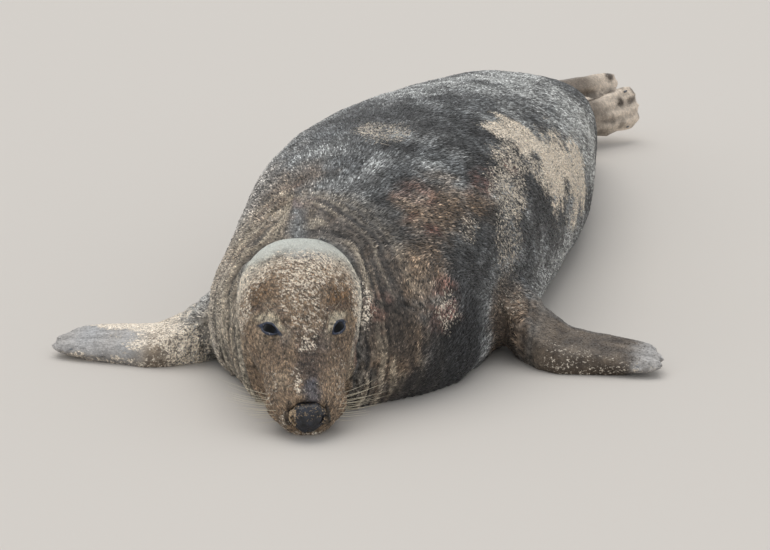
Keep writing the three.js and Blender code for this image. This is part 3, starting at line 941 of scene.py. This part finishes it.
def coat_material(name, colours, hair_bump):
    """Short seal hair lying flat: softly glossy where sleek, dull elsewhere, with pale grains of dry sand."""
    made, tree, shader = new_material(name)
    place = add(tree, "TexCoord").outputs["Object"]
    marks = add(tree, "Attribute", attribute_name="MarkingsAndPaintedLight").outputs["Color"]
    sand = add(tree, "Attribute", attribute_name="Sand").outputs["Fac"]
    sleek = add(tree, "Attribute", attribute_name="Wet").outputs["Fac"]
    tone = add(tree, "Attribute", attribute_name="Tone").outputs["Fac"]
    along = add(tree, "Mapping", place, Scale=(0.5, 1.0, 0.5))

    fleck = add(tree, "TexNoise", along, Scale=per_metre(5 * MM), Detail=3.0, Roughness=0.65)
    fleck = add(tree, "Math", fleck, 0.5, operation="SUBTRACT")
    contrast = add(tree, "Math", sleek, -3.5, 4.2, operation="MULTIPLY_ADD")
    light = add(tree, "Math", fleck, contrast, 1.0, operation="MULTIPLY_ADD")
    light = add(tree, "Math", light, 0.2, operation="MAXIMUM")
    light = add(tree, "Math", light, tone, operation="MULTIPLY")
    shaded = add(tree, "VectorMath", marks, light, operation="SCALE")

    clump = add(tree, "TexNoise", along, Scale=per_metre(13 * MM), Detail=2.0, Roughness=0.65)
    clump = add(tree, "Math", clump, 0.20, operation="MULTIPLY")
    grain = add(tree, "TexNoise", along, Scale=per_metre(2.9 * MM), Detail=2.0, Roughness=0.65)
    grain = add(tree, "Math", grain, 0.80, clump, operation="MULTIPLY_ADD")
    bare = add(tree, "Math", sand, -0.265, 0.680, operation="MULTIPLY_ADD")
    shows = add(tree, "Math", grain, bare, operation="SUBTRACT")
    shows = add(tree, "Math", shows, 13.0, operation="MULTIPLY", use_clamp=True)
    dry = add(tree, "TexNoise", place, Scale=per_metre(2.6 * MM), Detail=2.0, Roughness=0.65)
    dry = add(tree, "Math", dry, 3.2, -0.62, operation="MULTIPLY_ADD")
    thick = add(tree, "Math", sand, 0.50, 0.72, operation="MULTIPLY_ADD")
    thick = add(tree, "Math", thick, 1.2, operation="MINIMUM")
    dry = add(tree, "Math", dry, thick, operation="MULTIPLY")
    sandy = add(tree, "VectorMath", colours.sand, dry, operation="SCALE")

    relief = add(tree, "TexNoise", place, Scale=per_metre(2.4 * MM), Detail=3.0, Roughness=0.65)
    relief = add(tree, "Math", shows, 0.8, relief, operation="MULTIPLY_ADD")
    inputs = {
        "Base Color": add(tree, "Mix", shows, shaded, sandy, data_type="RGBA"),
        "Roughness": add(tree, "Math", sleek, -0.24, 0.66, operation="MULTIPLY_ADD"),
        "Normal": add(tree, "Bump", Height=relief, Strength=0.5, Distance=hair_bump),
        "Sheen Weight": 0.1,
        "Sheen Roughness": 0.4,
    }
    feed(tree, shader, inputs)
    return made


def nose_material():
    """Bare moist skin: dark blue-black, pebbled, with a soft shine, and wet sand along its rim."""
    made, tree, shader = new_material("moist_nose_skin")
    place = add(tree, "TexCoord").outputs["Object"]
    sand = add(tree, "Attribute", attribute_name="Sand").outputs["Fac"]
    dark = add(tree, "TexNoise", place, Scale=per_metre(16 * MM), Detail=4.0, Roughness=0.65)
    dark = add(tree, "ValToRGB", dark)
    set_stops(dark, (0.36, "#0e0f12"), (0.64, "#33363f"))
    shows = add(tree, "TexNoise", place, Scale=per_metre(3.2 * MM), Detail=2.0, Roughness=0.65)
    shows = add(tree, "Math", shows, 0.70, operation="SUBTRACT")
    shows = add(tree, "Math", sand, 0.30, shows, operation="MULTIPLY_ADD")
    shows = add(tree, "Math", shows, 14.0, operation="MULTIPLY", use_clamp=True)
    dry = add(tree, "TexNoise", place, Scale=per_metre(2.5 * MM), Detail=2.0, Roughness=0.65)
    dry = add(tree, "Math", dry, 3.4, -0.80, operation="MULTIPLY_ADD")
    sandy = add(tree, "VectorMath", linear("#b09a7e"), dry, operation="SCALE")
    pebbles = add(tree, "TexVoronoi", place, Scale=per_metre(2.6 * MM))
    relief = add(tree, "Math", shows, 1.5, pebbles, operation="MULTIPLY_ADD")
    inputs = {
        "Base Color": add(tree, "Mix", shows, dark, sandy, data_type="RGBA"),
        "Roughness": add(tree, "Math", shows, 0.4, 0.36, operation="MULTIPLY_ADD"),
        "Normal": add(tree, "Bump", Height=relief, Strength=0.6, Distance=0.8 * MM),
    }
    feed(tree, shader, inputs)
    return made


def eye_material(centre, outward):
    """A wet eyeball: black pupil and very dark brown iris under clear tears, ringed with blue-grey as a
    painted reflection of the sky.
    """
    made, tree, shader = new_material("wet_eyeball")
    place = add(tree, "TexCoord").outputs["Object"]
    away = add(tree, "VectorMath", place, centre, operation="SUBTRACT")
    outwards = add(tree, "VectorMath", away, outward, operation="DOT_PRODUCT")
    ramp = add(tree, "ValToRGB", add(tree, "Math", outwards, EYE_RADIUS, operation="DIVIDE"))
    # Painted reflection: the blue-grey stops round the edge stand in for the sky mirrored in the wet eye.
    iris = ((0.0, "#3a4152"), (0.66, "#262c3b"), (0.78, "#101218"), (0.90, "#0a0807"), (0.95, "#030304"))
    set_stops(ramp, *iris)
    feed(tree, shader, {"Base Color": ramp, "Roughness": 0.10, "IOR": 1.34, "Specular IOR Level": 0.3})
    return made


def claw_material():
    """Horn: slate grey, mottled as it grew, worn paler and half glossy."""
    made, tree, shader = new_material("claw_horn")
    place = add(tree, "TexCoord").outputs["Object"]
    ramp = add(tree, "ValToRGB", add(tree, "TexNoise", place, Scale=per_metre(5 * MM), Detail=4.0))
    set_stops(ramp, (0.3, "#33363b"), (0.75, "#7d838b"))
    fine = add(tree, "TexNoise", place, Scale=per_metre(1.2 * MM), Detail=2.0)
    bump = add(tree, "Bump", Height=fine, Strength=0.4, Distance=0.3 * MM)
    feed(tree, shader, {"Base Color": ramp, "Roughness": 0.38, "Normal": bump})
    return made


def whisker_material():
    """Stiff keratin: cream, a little darker here and there, glossy."""
    made, tree, shader = new_material("whisker_keratin")
    place = add(tree, "TexCoord").outputs["Object"]
    ramp = add(tree, "ValToRGB", add(tree, "TexNoise", place, Scale=per_metre(20 * MM)))
    set_stops(ramp, (0.0, "#b8ab8c"), (1.0, "#eee6d2"))
    feed(tree, shader, {"Base Color": ramp, "Roughness": 0.35})
    return made


# ---- The coat -------------------------------------------------------------------------------
def hair_lie(points, normals):
    """The way the hair lies: back from the nose, back and down the trunk's sides, and along the flippers."""
    on_head = smooth_step(in_head(points)[:, 1], 0.40, 0.30)[:, None]
    aside = np.clip((points[:, 0] + 0.05) / 0.15, -1.0, 1.0)
    down = smooth_step(points[:, 2], 0.36, 0.20)
    trunk = np.stack([0.8 * aside, np.ones(len(points)), -0.6 * down], axis=1)
    lie = trunk * (1 - on_head) + HEAD_AXES[:, 1] * on_head
    for spec in FLIPPERS.values():
        share = flipper_share(points, spec)[:, None]
        lie = lie * (1 - share) + flipper_axes(spec)[:, 0] * share
    return unit(lie - normals * np.sum(lie * normals, axis=1, keepdims=True))


class Roots:
    """Where tufts grow: spread evenly over some of the skin's triangles."""

    def __init__(self, skin, chosen, count, random):
        corners = numbers(skin.loop_triangles, "vertices", 3, np.int32)
        corners = corners[chosen[corners].all(axis=1)]
        points = places(skin)
        a, b, c = (points[corners[:, k]] for k in range(3))
        area = np.linalg.norm(np.cross(b - a, c - a), axis=1)
        steps = (np.arange(count) + random.random(count)) / count * area.sum()
        picked = corners[np.searchsorted(np.cumsum(area), steps).clip(0, len(corners) - 1)]
        first = random.random(count)
        second = random.random(count)
        over = first + second > 1
        first[over], second[over] = 1 - first[over], 1 - second[over]
        self.corners = picked
        self.shares = np.stack([1 - first - second, first, second], axis=1)

    def value(self, values):
        """A value of the skin's vertices, at the roots."""
        shares = self.shares if values.ndim == 1 else self.shares[:, :, None]
        return np.sum(values[self.corners] * shares, axis=1)


def tuft_points(root, normal, lie, length, width, lift, random):
    """Root, left, right and ridge points and tip of each tuft: a slender lock that lies along the skin."""
    turn = random.normal(0.0, TUFT_SPREAD, len(root))[:, None]
    lie = unit(lie + np.cross(normal, lie) * turn)
    across = np.cross(normal, lie)
    long, wide, high = length[:, None], width[:, None], lift[:, None]
    start = root - normal * 0.8 * MM - lie * 0.12 * long
    middle = root + lie * 0.40 * long + normal * 0.35 * high
    left = middle + across * 0.5 * wide - normal * 0.25 * high
    right = middle - across * 0.5 * wide - normal * 0.25 * high
    ridge = middle + normal * 0.55 * high
    tip = root + lie * long + normal * high
    return np.stack([start, left, right, ridge, tip], axis=1)


TUFT_FACES = np.array([(0, 2, 3), (0, 3, 1), (0, 1, 2), (4, 3, 2), (4, 1, 3), (4, 2, 1)])
PATCH = 0.0015  # half of a tuft's patch on the bake's map
PATCH_PLACES = np.array([(0, -1), (-1, 0), (1, 0), (0, 0.3), (0, 1)]) * PATCH


def coat_piece(name, tufts, spots, marks):
    """One piece of the coat from its tufts' points, with each tuft's patch on the bake's map."""
    faces = (TUFT_FACES[None] + 5 * np.arange(len(tufts))[:, None, None]).reshape(-1, 3)
    mesh = bpy.data.meshes.new(name)
    mesh.from_pydata(tufts.reshape(-1, 3), [], faces)
    uvs = (spots[:, None, :] + PATCH_PLACES[None]).reshape(-1, 2)
    layer = mesh.uv_layers.new(name="OFBake")
    layer.uv.foreach_set("vector", uvs[faces.ravel()].astype(np.float32).ravel())
    store_markings(mesh, *(np.repeat(values, 5, axis=0) for values in marks))
    mesh.shade_smooth()
    return link(mesh, name)


def unwrap_trunk(points):
    """The trunk rolled flat: round it by angle, and along it."""
    angle = np.arctan2(points[:, 0] + 0.04, points[:, 2] - 0.05)
    return np.stack([0.5 + 0.47 * angle / math.pi, 0.03 + 0.94 * (points[:, 1] + 1.0) / 2.1], axis=1)


def unwrap_head(points):
    """The head rolled flat about its own axis."""
    x, y, z = in_head(points).T
    up = z - HEAD_MIDDLE
    out = np.clip(np.hypot(x, up) / 0.12, 0, 1)
    along = 0.30 * out + 0.70 * np.clip(y / 0.45, 0, 1)
    return np.stack([0.5 + 0.47 * np.arctan2(x, up) / math.pi, 0.03 + 0.94 * along], axis=1)


def unwrap_flippers(points, normals):
    """Each flipper's two faces laid side by side."""
    made = np.full((len(points), 2), 0.5)
    for index, spec in enumerate(FLIPPERS.values()):
        x, y, _ = in_flipper(points, spec).T
        mine = flipper_share(points, spec) > 0.01
        top = (normals @ flipper_axes(spec)[:, 2]) > 0
        u = 0.25 * index + 0.02 + 0.21 * np.clip((y + 0.14) / 0.28, 0, 1)
        v = np.where(top, 0.52, 0.02) + 0.46 * np.clip((x + 0.10) / 0.38, 0, 1)
        made[mine] = np.stack([u, v], axis=1)[mine]
    return made


# ---- Operators ------------------------------------------------------------------------------
def dress(piece, material, nodes=()):
    """Gives a piece its material, sets it on the body, and lets it stand for its nodes."""
    piece.data.materials.clear()
    piece.data.materials.append(material)
    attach(piece, BODY)
    if nodes:
        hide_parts(*nodes)


class SEAL_OT_skin(bpy.types.Operator):
    """Makes the one skin that stands for all the flesh"""

    bl_idname = "seal.skin"
    bl_label = "Skin"

    def execute(self, context):
        scene = context.scene
        mesh = skin_form(scene.seal_sizes)
        shade, sand, wet = markings_and_painted_light(mesh, scene.seal_colours)
        store_markings(mesh, shade, sand, wet, np.full(len(shade), 0.85))
        base = coat_material("short_seal_hair_base", scene.seal_colours, 0.9 * MM)
        dress(link(mesh, "skin"), base, FLESH_NODES)
        return {"FINISHED"}


class SEAL_OT_coat(bpy.types.Operator):
    """Grows the coat's tufts over the skin, smallest on the face and flippers"""

    bl_idname = "seal.coat"
    bl_label = "Coat"

    def execute(self, context):
        skin = bpy.data.objects["skin"].data
        skin.calc_loop_triangles()
        sizes = context.scene.seal_sizes
        random = np.random.default_rng(20)
        points = places(skin)
        normals = facing(skin)
        local = in_head(points)
        fins = any_flipper(points) > 0.02
        head = (past_face(local)[0] < 0.02) & ~fins
        under = (points[:, 2] < 2.5 * MM) | ((normals[:, 2] < -0.9) & (points[:, 2] < 20 * MM))
        behind_pad = np.linalg.norm((local - NOSE_MIDDLE) / NOSE_REACH, axis=1) < 0.90
        haired = ~under & ~behind_pad & (lid_distance(points) > 2.8 * MM)
        regions = (
            ("coat_face", "coat_head", head, 2, unwrap_head(points)),
            ("coat_trunk", "coat_body", ~head & ~fins, 4, unwrap_trunk(points)),
            ("coat_flippers", "coat_flippers", fins, 1, unwrap_flippers(points, normals)),
        )
        fields = {
            "normal": normals,
            "lie": hair_lie(points, normals),
            "shade": numbers(skin.attributes["MarkingsAndPaintedLight"].data, "color", 4)[:, :3],
            "sand": numbers(skin.attributes["Sand"].data, "value", 1),
            "sleek": numbers(skin.attributes["Wet"].data, "value", 1),
        }
        hair = coat_material("short_seal_hair", context.scene.seal_colours, 0.3 * MM)
        for name, slot, region, piece_count, unwrapped in regions:
            count = piece_count * sizes.tufts_in_piece
            roots = Roots(skin, region & haired, count, random)
            at = roots.value(points)
            field = {key: roots.value(values) for key, values in fields.items()}
            shade, sleek = field["shade"], field["sleek"]
            length = self.lengths(at, sizes, slot) * (1 - 0.3 * sleek) * random.uniform(0.75, 1.25, count)
            length *= 0.35 + 0.65 * smooth_step(lid_distance(at), 2 * MM, 16 * MM)
            width = 0.24 * length * random.uniform(0.8, 1.2, count)
            lift = length * random.uniform(0.04, 0.14, count) * (1 - 0.5 * sleek)
            tufts = tuft_points(at, unit(field["normal"]), unit(field["lie"]), length, width, lift, random)
            tufts[:, :, 2] = np.maximum(tufts[:, :, 2], FLOOR_LEVEL)
            marks = (shade, field["sand"], sleek, self.tones(at, sleek, shade.mean(axis=1), slot, random))
            spots = roots.value(unwrapped)
            for part in range(piece_count):
                mine = slice(part, None, piece_count)
                label = name if piece_count == 1 else f"{name}_{part + 1}"
                piece = coat_piece(label, tufts[mine], spots[mine], [values[mine] for values in marks])
                dress(piece, hair)
        return {"FINISHED"}

    @staticmethod
    def lengths(at, sizes, slot):
        """Face hair at the nose, growing to body hair behind the head."""
        if slot == "coat_flippers":
            return np.full(len(at), 0.9 * sizes.head_hair)
        back = smooth_step(past_face(in_head(at))[0], 0.08, 0.34)
        return sizes.head_hair + (sizes.body_hair - sizes.head_hair) * back

    @staticmethod
    def tones(at, sleek, shade, slot, random):
        """How light each tuft is: mottled in clumps, with scattered pale and black ones, but none white."""
        spread, clump = (0.72, 1.0) if slot == "coat_body" else (0.38, 0.5)
        spread = spread * (1 - 0.6 * sleek)
        tone = np.exp(random.normal(0.0, 1.0, len(at)) * spread + clump * spread * drift(at, 0.03, 71))
        chance = random.random(len(at))
        tone = tone * np.where(chance < 0.10 * (1 - sleek), 1.8, 1.0)
        tone = tone * np.where(chance > 1 - 0.14 * (1 - sleek), 0.4, 1.0)
        return np.clip(tone, 0.2, np.clip(0.82 / shade, 1.15, 3.2))


class SEAL_OT_nose(bpy.types.Operator):
    """Makes the bare nose pad with its two nostrils"""

    bl_idname = "seal.nose"
    bl_label = "Nose"

    def execute(self, context):
        mesh = in_grid(solids(["nose"]), 1.6 * MM)
        set_places(mesh, relax(mesh, np.full(len(mesh.vertices), 0.8), 6))
        points = places(mesh)
        x, y, z = in_head(points).T
        height = z - NOSTRIL_HEIGHT
        move = 1.0 + 1.6 * drift(points, 0.015, 61) + 0.6 * drift(points, 0.006, 62)
        move -= 2.5 * hill(x, 0.0025) * smooth_step(z, 0.006, -0.008)
        move -= 3.5 * hill(x, 0.012) * smooth_step(z, 0.014, 0.030)
        move -= 4.0 * hill(np.abs(x) - 0.030 + 0.3 * np.abs(height), 0.003) * hill(height, 0.012)
        x, y, z = in_head(points + facing(mesh) * (move * MM)[:, None]).T
        taper = 1.0 - 0.30 * smooth_step(z, 0.010, -0.026)
        z = z - 4.0 * MM * smooth_step(z, 0.020, -0.020)
        ragged = 0.008 * drift(points, 0.009, 63) + 0.007 * drift(points, 0.004, 64)
        crusts = (
            smooth_step(z + ragged, -0.022, -0.031),
            smooth_step(x + ragged, -0.018, -0.028),
            0.9 * smooth_step(x - ragged, 0.027, 0.033),
        )
        crust = np.max(crusts, axis=0)
        y = y - 1.5 * MM * crust * (1 + drift(points, 0.004, 67))
        set_places(mesh, out_of_head(np.stack([x * taper, y, z], axis=1)))
        mesh.shade_smooth()
        dusted = np.maximum(crust, 0.34 * smooth_step(z + ragged, 0.008, 0.024))
        store(mesh, "Sand", np.clip(dusted + 0.08, 0, 1.0))
        dress(link(mesh, "nose_pad"), nose_material(), ["nose"])
        return {"FINISHED"}


class SEAL_OT_eyes(bpy.types.Operator):
    """Makes the two smooth, wet eyeballs"""

    bl_idname = "seal.eyes"
    bl_label = "Eyes"

    def execute(self, context):
        for name, side in (("left", 1), ("right", -1)):
            centre, _, _, outward = eye_frame(side)
            at = Vector(out_of_head(centre))
            bm = bmesh.new()
            bmesh.ops.create_uvsphere(bm, u_segments=48, v_segments=32, radius=EYE_RADIUS - EYEBALL_GAP)
            bmesh.ops.translate(bm, vec=at, verts=bm.verts)
            mesh = finished(bm, f"eyeball_{name}")
            mesh.shade_smooth()
            wet = eye_material(at, HEAD_AXES @ outward)
            dress(link(mesh, f"eyeball_{name}"), wet, [f"eye_{name}"])
        return {"FINISHED"}


class SEAL_OT_claws(bpy.types.Operator):
    """Rounds the claws and gives them their horn"""

    bl_idname = "seal.claws"
    bl_label = "Claws"

    def execute(self, context):
        horn = claw_material()
        for name in CLAW_NODES:
            mesh = modified(solids([name], swell=0), "SUBSURF", levels=2, render_levels=2)
            set_places(mesh, self.seated(places(mesh), name))
            mesh.shade_smooth()
            dress(link(mesh, f"horn_{name}"), horn, [name])
        return {"FINISHED"}

    @staticmethod
    def seated(points, name):
        """A claw's points drawn in to the skin, slimmer, and sunk so that hair covers its sides."""
        limb, side = name.split("_claw_")
        spec = FLIPPERS[f"{limb}_flipper_{side[:-2]}"]
        local = in_flipper(points, spec)
        middle = local.mean(axis=0)
        local = middle + (local - middle) * CLAW_SHARES
        back, sink = (4.0 * MM, 3.0 * MM) if spec["fore"] else (9.0 * MM, 1.0 * MM)
        local -= np.array((back, 0.12 * middle[1], sink * np.sign(middle[2])))
        return np.array(spec["at"]) + local @ flipper_axes(spec).T


class SEAL_OT_whiskers(bpy.types.Operator):
    """Grows the whiskers on the muzzle and the few above the eyes"""

    bl_idname = "seal.whiskers"
    bl_label = "Whiskers"

    def execute(self, context):
        random = np.random.default_rng(7)
        curve = bpy.data.curves.new("whiskers", "CURVE")
        curve.dimensions = "3D"
        curve.bevel_depth = WHISKER_RADIUS
        curve.bevel_resolution = 1
        curve.use_fill_caps = True
        for side in (1, -1):
            for row in range(WHISKER_ROWS):
                for rank in range(WHISKER_RANKS):
                    root = (side * (0.056 + 0.0035 * rank), 0.030 + 0.012 * rank, -0.0105 * row)
                    length = (0.052 + 0.017 * rank) * random.uniform(0.7, 1.2)
                    out = (side, -0.05 + 0.10 * rank, 0.06 - 0.10 * row + random.uniform(-0.1, 0.1))
                    self.whisker(curve, root, out, (0, 0.24, -0.12), length)
            for rank in range(BROW_WHISKERS):
                root = (side * (0.044 + 0.007 * rank), 0.196 + random.uniform(-0.006, 0.006), 0.076)
                out = (side * random.uniform(0.3, 0.9), 0.3, 0.6)
                self.whisker(curve, root, out, (side * 0.3, 0.6, -0.2), random.uniform(0.014, 0.024))
        mesh = evaluated(link(curve, "whiskers"))
        mesh.shade_smooth()
        dress(link(mesh, "whisker_hairs"), whisker_material())
        return {"FINISHED"}

    @staticmethod
    def whisker(curve, root, out, bend, length):
        """One whisker in the head's frame: it starts outwards and bends as it runs, thinning to its tip."""
        root, out, bend = np.array(root), unit(np.array(out)), np.array(bend)
        spline = curve.splines.new("POLY")
        spline.points.add(WHISKER_STEPS)
        for step in range(WHISKER_STEPS + 1):
            share = step / WHISKER_STEPS
            x, y, z = out_of_head(root - out * 5 * MM + (out + bend * share) * share * length)
            spline.points[step].co = (x, y, max(z, 1.2 * MM), 1)
            spline.points[step].radius = 1.0 - 0.8 * share


class SEAL_OT_stage(bpy.types.Operator):
    """Sets the camera, the pale floor and the soft light"""

    bl_idname = "seal.stage"
    bl_label = "Stage"

    def execute(self, context):
        scene = context.scene
        camera = link(bpy.data.cameras.new("camera"), "camera")
        camera.location = CAMERA_PLACE
        camera.rotation_euler = (math.radians(90 - CAMERA_BELOW_LEVEL), 0, math.radians(CAMERA_TURN))
        camera.data.lens = FOCAL_LENGTH * camera.data.sensor_width
        scene.camera = camera

        bm = bmesh.new()
        bmesh.ops.create_grid(bm, x_segments=1, y_segments=1, size=FLOOR_SIZE)
        mesh = finished(bm, "floor")
        plain, tree, shader = new_material("matt_pale_floor")
        feed(tree, shader, {"Base Color": (*linear("#cdc8c2"), 1), "Roughness": 0.9})
        mesh.materials.append(plain)
        link(mesh, "floor")

        sky = bpy.data.worlds.new("soft_sky")
        sky.use_nodes = True
        background = sky.node_tree.nodes["Background"]
        feed(sky.node_tree, background, {"Color": (0.96, 0.98, 1.0, 1), "Strength": SKY_STRENGTH})
        scene.world = sky
        sun = bpy.data.lights.new("overcast", "SUN")
        sun.energy = SUN_STRENGTH
        sun.angle = math.radians(SUN_SPREAD)
        sun.color = (1.0, 0.97, 0.93)
        lamp = link(sun, "overcast")
        lamp.rotation_euler = (*(math.radians(tilt) for tilt in SUN_TILTS), 0)
        scene.view_settings.view_transform = "Standard"
        return {"FINISHED"}


OPERATORS = (
    SEAL_OT_stage,
    SEAL_OT_skin,
    SEAL_OT_coat,
    SEAL_OT_nose,
    SEAL_OT_eyes,
    SEAL_OT_claws,
    SEAL_OT_whiskers,
)


class SEAL_PT_panel(bpy.types.Panel):
    bl_idname = "SEAL_PT_panel"
    bl_label = "Grey Seal"
    bl_space_type = "VIEW_3D"
    bl_region_type = "UI"
    bl_category = "Grey Seal"

    def draw(self, context):
        for group in (context.scene.seal_sizes, context.scene.seal_colours):
            for name in group.__annotations__:
                self.layout.prop(group, name)
        for operator in OPERATORS:
            self.layout.operator(operator.bl_idname)


CLASSES = (SealSizes, SealColours, *OPERATORS, SEAL_PT_panel)


def register():
    for each in CLASSES:
        bpy.utils.register_class(each)
    bpy.types.Scene.seal_sizes = PointerProperty(type=SealSizes)
    bpy.types.Scene.seal_colours = PointerProperty(type=SealColours)


def unregister():
    del bpy.types.Scene.seal_colours
    del bpy.types.Scene.seal_sizes
    for each in reversed(CLASSES):
        bpy.utils.unregister_class(each)


def main():
    register()
    bpy.ops.seal.stage()
    bpy.ops.seal.skin()
    bpy.ops.seal.coat()
    bpy.ops.seal.nose()
    bpy.ops.seal.eyes()
    bpy.ops.seal.claws()
    bpy.ops.seal.whiskers()


if __name__ == "__main__":
    main()
